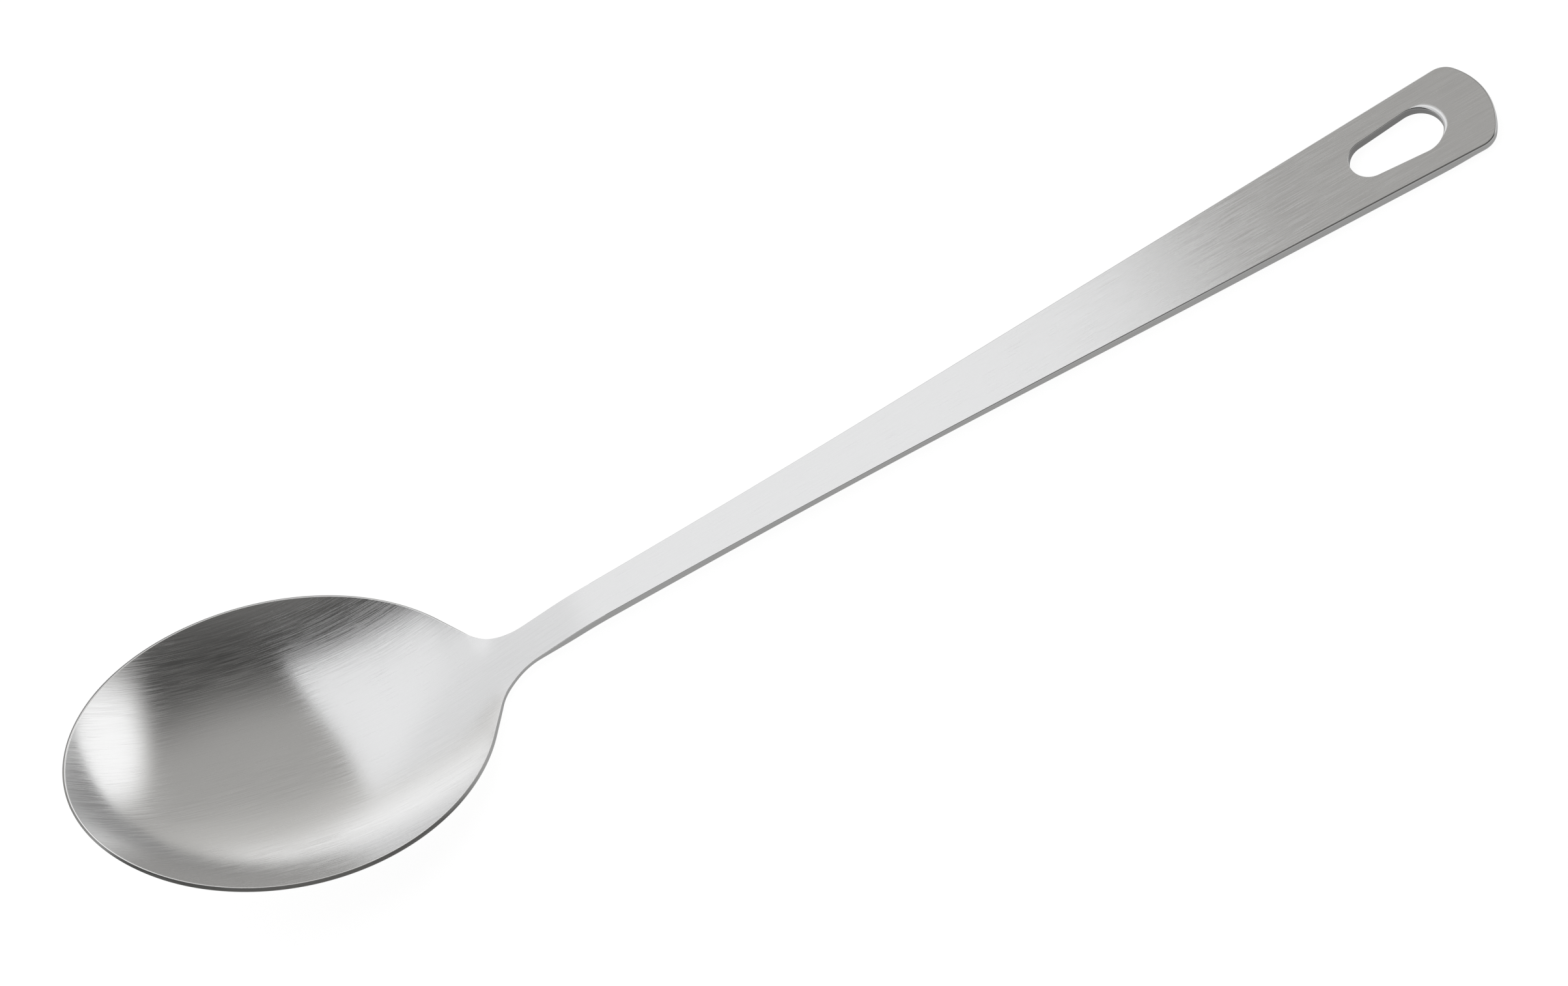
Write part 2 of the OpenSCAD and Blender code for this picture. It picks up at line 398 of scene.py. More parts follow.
    def spot(self, x: float, y: float) -> Spot:
        """Top and underside of the sheet at a place seen from above the rim.

        Args:
            x: Along the spoon, from the middle of the bowl.
            y: Across the spoon.

        Returns:
            The points and normals there.
        """
        h = self.slope_step
        slope_x = (self.height(x + h, y) - self.height(x - h, y)) / (2 * h)
        slope_y = (self.height(x, y + h) - self.height(x, y - h)) / (2 * h)
        up = Vector((-slope_x, -slope_y, 1.0)).normalized()
        top = Vector((x, y, self.height(x, y)))
        sheet = self.sheet_at(x)
        swelling = (self.sheet_at(x + h) - self.sheet_at(x - h)) / (2 * h)
        forward = Vector((1.0, 0.0, slope_x))
        down = -(up + forward * (swelling / forward.length_squared)).normalized()
        return Spot(top, up, top - up * sheet, down)

    def stations(self) -> list[Station]:
        """Places along the bowl's and neck's outline, on the +Y side, from the tip to the handle.

        Returns:
            The stations, whose rows of points stand square to the outline.
        """
        last = math.radians(self.neck_turn_angle)
        made = []
        for i in range(self.rim_steps + 1):
            angle = math.pi - (math.pi - last) * i / self.rim_steps
            x, y = self.rim_point(angle)
            shape = self.rim_shape(math.cos(angle))
            foot = x - self.half_width**2 * shape * self.rim_rise(angle) / self.half_length
            made.append(Station(x, 0.0 if i == 0 else y, foot, *self.rim_out(angle)))
        turn_x, turn_y, out_x, out_y = self.turn
        end_x, end_y = self.fillet_start
        for i in range(1, self.run_steps + 1):
            x = turn_x + (end_x - turn_x) * i / self.run_steps
            y = turn_y + (end_y - turn_y) * i / self.run_steps
            made.append(Station(x, y, x - y * out_x / out_y, out_x, out_y))
        start = math.atan2(out_y, out_x)
        for i in range(1, self.fillet_steps + 1):
            angle = start + (math.pi / 2 - start) * i / self.fillet_steps
            c, s = math.cos(angle), math.sin(angle)
            x, y = self.fillet_x - self.neck_fillet * c, self.half_neck + self.neck_fillet * (1 - s)
            made.append(Station(x, y, x - y * c / s, c, s))
        for i in range(1, self.neck_steps + 1):
            x = self.fillet_x + (self.start_x - self.fillet_x) * i / self.neck_steps
            made.append(Station(x, self.half_neck, x, 0.0, 1.0))
        return made


@dataclass(frozen=True)
class HandleForm:
    """Sizes of the handle and its hanging slot, in millimetres and degrees, along its flat top face."""

    length: float = 222.0
    slope_angle: float = BowlForm.handle_angle
    start_x: float = BowlForm.half_length + BowlForm.neck_reach
    start_z: float = BowlForm.neck_height
    half_neck: float = BowlForm.half_neck
    flare_end: float = 84.5
    half_flare: float = 6.6
    half_end: float = 11.2
    flare_aim_share: float = 0.48
    tip_radius: float = 16.5
    corner_radius: float = 5.0
    neck_sheet: float = BowlForm.neck_sheet
    waist_sheet: float = 1.8
    end_sheet: float = 2.5
    waist_share: float = 0.34
    full_share: float = 0.72
    slot_near_radius: float = 4.75
    slot_far_radius: float = 5.8
    slot_pitch: float = 11.7
    slot_from_tip: float = 17.4
    web_start: float = 165.0
    roll_width: float = 0.14
    coined_width: float = 1.25
    roll_depth: float = 0.16
    coined_depth: float = 0.5
    coined_towards: float = 18.0
    coined_from: float = 0.25
    slope_step: float = 0.05
    row_steps: int = 56
    side_steps: int = 19
    corner_steps: int = 16
    tip_steps: int = 26
    far_steps: int = 56
    flank_steps: int = 10
    near_steps: int = 36

    @cached_property
    def forward(self) -> Vector:
        """Unit vector along the handle."""
        turn = math.radians(self.slope_angle)
        return Vector((math.cos(turn), 0.0, math.sin(turn)))

    @cached_property
    def up(self) -> Vector:
        """Unit normal of the top face."""
        turn = math.radians(self.slope_angle)
        return Vector((-math.sin(turn), 0.0, math.cos(turn)))

    @cached_property
    def far_u(self) -> float:
        """Centre of the slot's wide end."""
        return self.length - self.slot_from_tip

    @cached_property
    def side_slope(self) -> float:
        """How fast the straight sides widen."""
        return (self.half_end - self.half_flare) / (self.far_u - self.flare_end)

    def side_y(self, u: float) -> float:
        """Half width of the straight-sided part."""
        return self.half_end + self.side_slope * (u - self.far_u)

    def half_width_at(self, u: float) -> float:
        """Half the width of the handle, along the flare and the straight sides.

        Args:
            u: Along the handle, from the neck.

        Returns:
            The half width.
        """
        if u >= self.flare_end:
            return self.side_y(u)
        aim = self.flare_end * self.flare_aim_share
        a, b = self.flare_end - 2 * aim, 2 * aim
        t = (math.sqrt(b * b + 4 * a * u) - b) / (2 * a)
        return (1 - t) ** 2 * self.half_neck + 2 * t * (1 - t) * self.side_y(aim) + t * t * self.half_flare

    def sheet_at(self, u: float) -> float:
        """Thickness of the rolled blank.

        Args:
            u: Along the handle, from the neck.

        Returns:
            The thickness.
        """
        waist, full = self.length * self.waist_share, self.length * self.full_share
        if u < waist:
            return self.neck_sheet + (self.waist_sheet - self.neck_sheet) * ease(u / waist)
        return self.waist_sheet + (self.end_sheet - self.waist_sheet) * ease((u - waist) / (full - waist))

    def place(self, u: float, y: float, rise: float = 0.0) -> Vector:
        """A point u along, y across and rise above the top face, in the rim's frame."""
        start = Vector((self.start_x, y, self.start_z))
        return start + self.forward * u + self.up * rise

    def spot(self, u: float, y: float) -> Spot:
        """Top and underside of the handle.

        Args:
            u: Along the handle, from the neck.
            y: Across the handle.

        Returns:
            The points and normals there.
        """
        h = self.slope_step
        sheet = self.sheet_at(u)
        swelling = (self.sheet_at(u + h) - self.sheet_at(max(0.0, u - h))) / (2 * h)
        down = -(self.up + self.forward * swelling).normalized()
        return Spot(self.place(u, y), self.up, self.place(u, y, -sheet), down)

    def rows(self) -> list[Station]:
        """Places along the side, on the +Y side, where rows of points cross the whole handle.

        Returns:
            The stations, from the neck to the web round the slot.
        """
        h = self.slope_step
        made = []
        for i in range(1, self.row_steps + 1):
            u = self.web_start * i / self.row_steps
            lean = (self.half_width_at(u + h) - self.half_width_at(u - h)) / (2 * h)
            size = math.hypot(lean, 1.0)
            x = self.start_x + u
            made.append(Station(x, self.half_width_at(u), x, -lean / size, 1 / size))
        return made

    def end_stations(self) -> list[Station]:
        """Places along the straight side, the corner and the tip, past the last row.

        Returns:
            The stations, the last of them on the middle line.
        """
        centre = self.length - self.tip_radius
        turn = math.atan(self.side_slope)
        base = self.side_y(centre) - self.corner_radius / math.cos(turn)
        throw = self.tip_radius - self.corner_radius
        s, b = 1 + self.side_slope**2, base * self.side_slope
        run = (math.sqrt(b * b - s * (base * base - throw * throw)) - b) / s
        corner_u, corner_y = centre + run, base + self.side_slope * run
        half_tip = math.atan2(corner_y, corner_u - centre)
        first = math.pi / 2 + turn
        touch_u = corner_u + self.corner_radius * math.cos(first)
        places = []
        for i in range(1, self.side_steps):
            u = self.web_start + (touch_u - self.web_start) * i / self.side_steps
            places.append((u, self.side_y(u), first))
        places += arc((corner_u, corner_y), self.corner_radius, first, half_tip, self.corner_steps)
        places += arc((centre, 0.0), self.tip_radius, half_tip, 0.0, self.tip_steps)[1:]
        made = []
        for u, y, angle in places:
            x = self.start_x + u
            made.append(Station(x, y, x, math.cos(angle), math.sin(angle)))
        return made

    def slot_ring(self) -> list[Place]:
        """Places round the hanging slot.

        Returns:
            Each place, as u, y and the angle that points away from the slot's middle.
        """
        far, near = self.slot_far_radius, self.slot_near_radius
        touch = math.pi / 2 + math.asin((far - near) / self.slot_pitch)
        flank = []
        for i in range(1, self.flank_steps):
            share = i / self.flank_steps
            radius = far + (near - far) * share
            along = self.far_u - self.slot_pitch * share
            flank.append((along + radius * math.cos(touch), radius * math.sin(touch), touch))
        ring = arc((self.far_u, 0.0), far, -touch, touch, self.far_steps) + flank
        near_u = self.far_u - self.slot_pitch
        ring += arc((near_u, 0.0), near, touch, 2 * math.pi - touch, self.near_steps)
        return ring + [(u, -y, 2 * math.pi - angle) for u, y, angle in reversed(flank)]

    def roll_at(self, angle: float) -> tuple[float, float]:
        """Width and depth of the slot's rolled upper edge, widest towards the tip.

        Args:
            angle: Direction from the slot's middle.

        Returns:
            The two sizes.
        """
        facing = math.cos(angle - math.radians(self.coined_towards))
        share = ease((facing - self.coined_from) / (1 - self.coined_from))
        return (
            self.roll_width + (self.coined_width - self.roll_width) * share,
            self.roll_depth + (self.coined_depth - self.roll_depth) * share,
        )


@dataclass(frozen=True)
class RestPose:
    """How the rim's frame lies on the table: its tilt in degrees and its shift in millimetres."""

    tilt: float = 22.376
    shift_x: float = -125.511
    shift_z: float = 19.6226

    def matrix(self) -> Matrix:
        """Matrix from millimetres in the rim's frame to metres on the table."""
        turned = Matrix.Rotation(math.radians(self.tilt), 4, "Y")
        moved = Matrix.Translation((self.shift_x, 0.0, self.shift_z))
        return Matrix.Scale(MILLIMETRE, 4) @ moved @ turned


@dataclass(frozen=True)
class Corner:
    """A face's corner: its point, its place on the brushing map in metres and its normal."""

    point: int
    across: float
    along: float
    normal: Vector


class Skin:
    """Points and faces of one closed piece, gathered patch by patch."""

    def __init__(self) -> None:
        """Starts with nothing."""
        self.points: list[Vector] = []
        self.faces: list[tuple[list[Corner], Region]] = []

    def point(self, place: Vector) -> int:
        """Adds a point and returns its number."""
        self.points.append(place)
        return len(self.points) - 1

    def face(self, corners: list[Corner], region: Region) -> None:
        """Adds a face, turned so that it looks the way its normals do.

        Args:
            corners: The corners in order round the face, repeated points left out here.
            region: What kind of surface it is.
        """
        kept = [c for i, c in enumerate(corners) if c.point != corners[i - 1].point]
        if len(kept) < 3:
            return
        places = [self.points[c.point] for c in kept]
        area = Vector((0.0, 0.0, 0.0))
        for i, place in enumerate(places):
            area += places[i - 1].cross(place)
        if area.dot(sum((c.normal for c in kept), Vector((0.0, 0.0, 0.0)))) < 0:
            kept.reverse()
        self.faces.append((kept, region))

    def patch(self, grid: list[list[Corner]], regions: list[Region]) -> None:
        """Adds the quads of a grid of corners.

        Args:
            grid: Rows of corners, all of one length.
            regions: The kind of surface of each column of quads, or one for all of them.
        """
        for row, after in zip(grid, grid[1:]):
            for j in range(len(row) - 1):
                region = regions[j] if len(regions) > 1 else regions[0]
                self.face([row[j], row[j + 1], after[j + 1], after[j]], region)

    def make(self, name: str, rest: RestPose, finishes: Finishes) -> bpy.types.Object:
        """Turns the skin into a mesh object that lies on the table.

        Args:
            name: The piece's name.
            rest: How it lies.
            finishes: One material for each Region.

        Returns:
            The object, linked to the scene.
        """
        matrix = rest.matrix()
        turn = matrix.to_3x3().normalized()
        mesh = bpy.data.meshes.new(name)
        faces = [[c.point for c in corners] for corners, _ in self.faces]
        mesh.from_pydata([matrix @ p for p in self.points], [], faces)
        for finish in finishes:
            mesh.materials.append(finish)
        for polygon, (_, region) in zip(mesh.polygons, self.faces):
            polygon.material_index = region.value
            polygon.use_smooth = True
        corners = [c for face, _ in self.faces for c in face]
        layer = mesh.uv_layers.new(name=BRUSH_MAP)
        for loop, corner in zip(layer.data, corners):
            loop.uv = (corner.along, corner.across)
        mesh.normals_split_custom_set([turn @ c.normal for c in corners])
        mesh.update()
        return put_in_scene(name, mesh)


def put_in_scene(name: str, data: bpy.types.ID) -> bpy.types.Object:
    """Makes an object of a mesh or a camera.

    Args:
        name: The object's name.
        data: The mesh or the camera.

    Returns:
        The object, linked to the scene.
    """
    made = bpy.data.objects.new(name, data)
    bpy.context.scene.collection.objects.link(made)
    return made


@dataclass
class Blank:
    """The pressed blank: the bowl's and the handle's forms joined, with rounded edges all round."""

    bowl: BowlForm = field(default_factory=BowlForm)
    handle: HandleForm = field(default_factory=HandleForm)
    row_points: int = 38
    arc_steps: int = 6
    wall_steps: int = 3
    rim_easing: float = 0.22
    upper_easing: float = 0.12
    upper_easing_tip: float = 0.38
    lower_easing: float = 0.1
    lower_easing_tip: float = 0.85
    tip_easing_run: float = 12.0
    tip_easing_lead: float = 1.5
    crowding_power: float = 1.45
    brush_step: float = 0.25

    @cached_property
    def stations(self) -> list[Station]:
        """All places along the +Y outline, with the length of edge before each.

        Returns:
            The stations, from the bowl's tip to the handle's tip.
        """
        raw = [*self.bowl.stations(), *self.handle.rows(), *self.handle.end_stations()]
        made, run = [], 0.0
        for i, st in enumerate(raw):
            if i:
                run += math.hypot(st.s - raw[i - 1].s, st.y - raw[i - 1].y)
            made.append(Station(st.s, st.y, st.foot, st.out_s, st.out_y, run))
        return made

    @cached_property
    def neck_row(self) -> int:
        """Number of the station where the bowl's piece ends and the handle's starts."""
        return len(self.bowl.stations()) - 1

    @cached_property
    def last_row(self) -> int:
        """Number of the last station that has a row of points."""
        return self.neck_row + len(self.handle.rows())

    @cached_property
    def middle_run(self) -> list[float]:
        """Length along the bowl's and the neck's middle line.

        Returns:
            The length at each brush_step of x, from the bowl's tip on.
        """
        runs, x, step = [0.0], -self.bowl.half_length, self.brush_step
        while x < self.bowl.start_x:
            runs.append(runs[-1] + math.hypot(step, self.bowl.middle_z(x + step) - self.bowl.middle_z(x)))
            x += step
        return runs

    def along(self, s: float) -> float:
        """Length of brushing before a place, measured on the middle line.

        Args:
            s: Along the spoon.

        Returns:
            The length, in millimetres.
        """
        start = self.bowl.start_x
        if s >= start:
            return self.along(start - TOUCHING) + s - start
        t = (s + self.bowl.half_length) / self.brush_step
        i = max(0, min(len(self.middle_run) - 2, int(t)))
        return self.middle_run[i] + (self.middle_run[i + 1] - self.middle_run[i]) * (t - i)

    def spot(self, s: float, y: float) -> Spot:
        """Top and underside of the blank.

        Args:
            s: Along the spoon.
            y: Across the spoon.

        Returns:
            The points and normals there.
        """
        if s > self.bowl.start_x + TOUCHING:
            return self.handle.spot(s - self.bowl.start_x, y)
        return self.bowl.spot(s, y)

    def sheet_at(self, s: float) -> float:
        """Thickness of the blank.

        Args:
            s: Along the spoon.

        Returns:
            The thickness.
        """
        if s > self.bowl.start_x:
            return self.handle.sheet_at(s - self.bowl.start_x)
        return self.bowl.sheet_at(s)

    def easing(self, s: float) -> float:
        """Radius of the rounded upper edge, which is narrow at the neck and grows both ways.

        Args:
            s: Along the spoon.

        Returns:
            The radius.
        """
        rim_share = ease(1 - s / self.bowl.half_length)
        share = ease((s - self.bowl.start_x) / self.handle.length)
        rim = (self.rim_easing - self.upper_easing) * rim_share
        return self.upper_easing + rim + (self.upper_easing_tip - self.upper_easing) * share

    def under_easing(self, s: float) -> float:
        """Radius of the rounded lower edge, which is wide only round the handle's end.

        Args:
            s: Along the spoon.

        Returns:
            The radius.
        """
        past_tip = s - self.bowl.start_x - self.handle.length
        share = ease(past_tip / self.tip_easing_run + self.tip_easing_lead)
        return self.lower_easing + (self.lower_easing_tip - self.lower_easing) * share

    @cached_property
    def outwards(self) -> list[Vector]:
        """Direction out of the blank at each station, square to its edge and in its surface.

        Returns:
            The unit vectors.
        """
        edge = [self.spot(st.s, st.y) for st in self.stations]
        made = []
        for i, st in enumerate(self.stations):
            before = edge[i - 1].top if i else Vector((st.s, -self.stations[1].y, edge[1].top.z))
            if i + 1 < len(edge):
                after = edge[i + 1].top
            else:
                after = Vector((edge[i - 1].top.x, -edge[i - 1].top.y, edge[i - 1].top.z))
            out = edge[i].up.cross((after - before).normalized()).normalized()
            made.append(out if out.dot(Vector((st.out_s, st.out_y, 0.0))) > 0 else -out)
        return made

    def inset(self, i: int, radius: float) -> tuple[float, float]:
        """Plan place where a rounding of the edge starts.

        Args:
            i: Number of the station.
            radius: The rounding's radius.

        Returns:
            The place along and across the spoon.
        """
        st, out = self.stations[i], self.outwards[i]
        flat = 1.0 if st.s > self.bowl.start_x else math.hypot(out.x, out.y)
        rake = self.bowl.rake_at(st.s)
        shift = radius * flat * (1 - math.sin(rake)) / math.cos(rake)
        return st.s - st.out_s * shift, max(0.0, st.y - st.out_y * shift)

    def row(self, i: int, radius: float) -> list[tuple[float, float]]:
        """Plan places of a station's row, from the middle line to a rounding of the edge.

        Args:
            i: Number of the station.
            radius: The rounding's radius.

        Returns:
            The places, which crowd together outwards.
        """
        st = self.stations[i]
        end_s, end_y = self.inset(i, radius)
        made = []
        for j in range(self.row_points + 1):
            t = 1 - (1 - j / self.row_points) ** self.crowding_power
            made.append((st.foot + (end_s - st.foot) * t, end_y * t))
        return made

    def edge_profile(self, i: int) -> list[EdgePoint]:
        """The rounded edge at station i, from the top face to the underside.

        Args:
            i: Number of the station.

        Returns:
            Points, normals and lengths down the edge, in millimetres.
        """
        st = self.stations[i]
        radius, under = self.easing(st.s), self.under_easing(st.s)
        place = self.inset(i, radius)
        spot = self.spot(*place)
        up, out = spot.up, self.outwards[i]
        out = (out - up * out.dot(up)).normalized()
        rake = self.bowl.rake_at(st.s)
        face = out * math.cos(rake) + up * math.sin(rake)
        fall = out * math.sin(rake) - up * math.cos(rake)
        height = (self.sheet_at(place[0]) - radius - under) / math.cos(rake)
        upper, turn = spot.top - up * radius, math.pi / 2 - rake
        made = rounding(upper, radius, (up, out), turn, self.arc_steps)
        down = turn * radius
        for k in range(1, self.wall_steps):
            drop = height * k / self.wall_steps
            made.append((upper + fall * drop + face * radius, face, down + drop))
        lower = upper + fall * height + face * (radius - under)
        turn = math.pi / 2 + rake
        return made + rounding(lower, under, (face, fall), turn, self.arc_steps, down + height)

    def edge_regions(self) -> list[Region]:
        """The kind of surface of each strip of the edge, from the top face down."""
        corner = [Region.EASED_CORNER] * self.arc_steps
        return corner + [Region.GROUND_EDGE] * self.wall_steps + corner


def mirrored(v: Vector, side: int) -> Vector:
    """The vector itself, or its mirror image across the spoon's middle for side -1."""
    return v.copy() if side > 0 else Vector((v.x, -v.y, v.z))


@dataclass
class SheetPart:
    """A stretch of the blank between two stations, as one closed piece."""

    blank: Blank
    first: int
    last: int
    skin: Skin = field(default_factory=Skin)
    numbers: dict[tuple[str, int, int, int], int] = field(default_factory=dict)

    def number(self, kind: str, side: int, i: int, j: int, place: Vector) -> int:
        """The number of a point, made once and shared where the two sides meet.

        Args:
            kind: Which surface it is on: top, under or edge.
            side: 1 for +Y and -1 for -Y.
            i: Number of its station.
            j: Number in its row.
            place: Where it is, on the +Y side.

        Returns:
            Its number in the skin.
        """
        on_middle = i == 0 or i == len(self.blank.stations) - 1 or (j == 0 and kind != "edge")
        key = (kind, 0 if on_middle else side, i, j)
        if key not in self.numbers:
            self.numbers[key] = self.skin.point(mirrored(place, side))
        return self.numbers[key]

    def edge_number(self, side: int, i: int, k: int, place: Vector) -> int:
        """The number of a point of the edge, whose first and last points belong to the faces.

        Args:
            side: 1 for +Y and -1 for -Y.
            i: Number of its station.
            k: Number down the edge.
            place: Where it is, on the +Y side.

        Returns:
            Its number in the skin.
        """
        rows, last = self.blank.row_points, 2 * self.blank.arc_steps + self.blank.wall_steps
        if k == 0:
            return self.number("top", side, i, rows, place)
        if k == last:
            return self.number("under", side, i, rows, place)
        return self.number("edge", side, i, k, place)

    def lay_faces(self, side: int, last: int) -> None:
        """Lays the top face and the underside of one half.

        Args:
            side: 1 for +Y and -1 for -Y.
            last: The last station whose row is used.
        """
        for kind, easing in (("top", self.blank.easing), ("under", self.blank.under_easing)):
            grid = []
            for i in range(self.first, last + 1):
                row = []
                for j, (s, y) in enumerate(self.blank.row(i, easing(self.blank.stations[i].s))):
                    spot = self.blank.spot(s, y)
                    place, normal = (spot.top, spot.up) if kind == "top" else (spot.under, spot.down)
                    number = self.number(kind, side, i, j, place)
                    across, along = side * y * MILLIMETRE, self.blank.along(s) * MILLIMETRE
                    row.append(Corner(number, across, along, mirrored(normal, side)))
                grid.append(row)
            self.skin.patch(grid, [Region.BRUSHED_FACE])

    def lay_edge(self, side: int) -> None:
        """Lays the rounded edge of one half.

        Args:
            side: 1 for +Y and -1 for -Y.
        """
        grid = []
        for i in range(self.first, self.last + 1):
            run = self.blank.stations[i].run * MILLIMETRE
            grid.append([
                Corner(self.edge_number(side, i, k, place), down * MILLIMETRE, run, mirrored(normal, side))
                for k, (place, normal, down) in enumerate(self.blank.edge_profile(i))
            ])
        self.skin.patch(grid, self.blank.edge_regions())

    def close_at(self, i: int, outward: Vector) -> None:
        """Closes the piece with a flat face across station i.

        Args:
            i: Number of the station.
            outward: Direction out of the piece there.
        """
        rows, edge = self.blank.row_points, 2 * self.blank.arc_steps + self.blank.wall_steps
        ring: list[int] = [self.numbers[("top", 0, i, 0)]]
        for side in (1, -1):
            half = [self.numbers[("top", side, i, j)] for j in range(1, rows + 1)]
            half += [self.numbers[("edge", side, i, k)] for k in range(1, edge)]
            half += [self.numbers[("under", side, i, j)] for j in range(rows, 0, -1)]
            if side > 0:
                ring += half + [self.numbers[("under", 0, i, 0)]]
            else:
                ring += reversed(half)
        corners = []
        for n in ring:
            p = self.skin.points[n]
            corners.append(Corner(n, p.y * MILLIMETRE, p.z * MILLIMETRE, outward))
        self.skin.face(corners, Region.GROUND_EDGE)


@dataclass
class BowlAndNeck:
    """The oval hollow and the bent neck."""

    blank: Blank
    rest: RestPose

    def build(self, finishes: Finishes) -> bpy.types.Object:
        """Builds the piece, dresses it and lets it stand for the CAD bowl.

        Args:
            finishes: One material for each Region.

        Returns:
            The piece.
        """
        part = SheetPart(self.blank, 0, self.blank.neck_row)
        for side in (1, -1):
            part.lay_faces(side, part.last)
            part.lay_edge(side)
        part.close_at(part.last, self.blank.handle.forward)
        piece = part.skin.make("bowl_and_neck", self.rest, finishes)
        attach(piece, "root")
        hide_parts("bowl")
        return piece


@dataclass
class FlatHandle:
    """The straight flat handle with its hanging slot.

    ring_closing is about the length, in millimetres, from the last place round the slot to the first.
    """

    blank: Blank
    rest: RestPose
    slot_steps: int = 10
    coined_steps: int = 4
    wall_steps: int = 4
    lower_steps: int = 4
    ring_closing: float = 1.2

    def slot_profile(self, u: float, y: float, angle: float) -> list[EdgePoint]:
        """The slot's edge at one place round it, from the top face to the underside.

        Args:
            u: Along the handle.
            y: Across the handle.
            angle: Direction away from the slot's middle.

        Returns:
            Points, normals and lengths down the edge, in millimetres.
        """
        form = self.blank.handle
        width, depth = form.roll_at(angle)
        away = form.forward * math.cos(angle) + Vector((0.0, math.sin(angle), 0.0))
        up, sheet, radius = form.up, form.sheet_at(u), form.roll_depth
        upper = form.place(u, y, -depth) + away * width
        made, down = [], 0.0
        for k in range(self.slot_steps + 1):
            a = math.pi / 2 * k / self.slot_steps
            normal = (up * (math.cos(a) / depth) - away * (math.sin(a) / width)).normalized()
            place = upper + up * (depth * math.cos(a)) - away * (width * math.sin(a))
            if made:
                down += (place - made[-1][0]).length
            made.append((place, normal, down))
        wall = sheet - depth - radius
        for k in range(1, self.wall_steps):
            drop = wall * k / self.wall_steps
            made.append((form.place(u, y, -depth - drop), -away, down + drop))
        lower = form.place(u, y, radius - sheet) + away * radius
        return made + rounding(lower, radius, (-away, -up), math.pi / 2, self.lower_steps, down + wall)

    def slot_regions(self) -> list[Region]:
        """The kind of surface of each strip of the slot's edge.

        Returns:
            The kinds, from the top face down.
        """
        rolled = [Region.BRUSHED_FACE] * self.coined_steps
        rolled += [Region.EASED_CORNER] * (self.slot_steps - self.coined_steps)
        return rolled + [Region.PUNCHED_WALL] * self.wall_steps + [Region.EASED_CORNER] * self.lower_steps

    def lay_slot(self, skin: Skin) -> list[list[Corner]]:
        """Lays the slot's edge.

        Args:
            skin: The handle's points and faces.

        Returns:
            For each place round the slot, the corners from the top face to the underside.
        """
        rings, run, before = [], 0.0, None
        for u, y, angle in self.blank.handle.slot_ring():
            if before:
                run += math.hypot(u - before[0], y - before[1])
            before = (u, y)
            rings.append([
                Corner(skin.point(place), down * MILLIMETRE, run * MILLIMETRE, normal)
                for place, normal, down in self.slot_profile(u, y, angle)
            ])
        full_run = (run + self.ring_closing) * MILLIMETRE
        closing = [Corner(c.point, c.across, full_run, c.normal) for c in rings[0]]
        skin.patch([*rings, closing], self.slot_regions())
        return rings

    def lay_end(self, part: SheetPart) -> None:
        """Lays the slot's edge and the flat web round it, on top and below.

        Args:
            part: The handle's part, whose rows and edges are already laid.
        """
        blank, form, skin = self.blank, self.blank.handle, part.skin
        rings = self.lay_slot(skin)
        start = blank.along(blank.bowl.start_x - TOUCHING)
        rows, row, end = blank.row_points, blank.last_row, len(blank.stations) - 1
        for kind, ring_end, normal in (("top", 0, form.up), ("under", -1, -form.up)):
            outer = [part.numbers[(kind, 0, row, 0)]]
            outer += [part.numbers[(kind, 1, row, j)] for j in range(1, rows + 1)]
            outer += [part.numbers[(kind, 1, i, rows)] for i in range(row + 1, end)]
            outer += [part.numbers[(kind, 0, end, rows)]]
            outer += [part.numbers[(kind, -1, i, rows)] for i in range(end - 1, row, -1)]
            outer += [part.numbers[(kind, -1, row, j)] for j in range(rows, 0, -1)]
            numbers = outer + [ring[ring_end].point for ring in rings]
            flat = []
            for n in numbers:
                from_start = skin.points[n] - form.place(0.0, 0.0)
                flat.append(Vector((from_start.dot(form.forward), skin.points[n].y, 0.0)))
            for triangle in tessellate_polygon([flat[: len(outer)], flat[len(outer):]]):
                skin.face([
                    Corner(numbers[t], flat[t].y * MILLIMETRE, (start + flat[t].x) * MILLIMETRE, normal)
                    for t in triangle
                ], Region.BRUSHED_FACE)

    def build(self, finishes: Finishes) -> bpy.types.Object:
        """Builds the piece, dresses it and lets it stand for the CAD handle.

        Args:
            finishes: One material for each Region.

        Returns:
            The piece.
        """
        part = SheetPart(self.blank, self.blank.neck_row, len(self.blank.stations) - 1)
        for side in (1, -1):
            part.lay_faces(side, self.blank.last_row)
            part.lay_edge(side)
        part.close_at(part.first, -self.blank.handle.forward)
        self.lay_end(part)
        piece = part.skin.make("flat_handle", self.rest, finishes)
        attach(piece, "root")
        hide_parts("handle")
        return piece


@dataclass(frozen=True)
class Streaks:
    """One layer of brushing: its streaks' width and length, in metres, and the layers inside it."""

    width: float
    length: float
    detail: float
    roughness: float
    shift: tuple[float, float] = (0.0, 0.0)


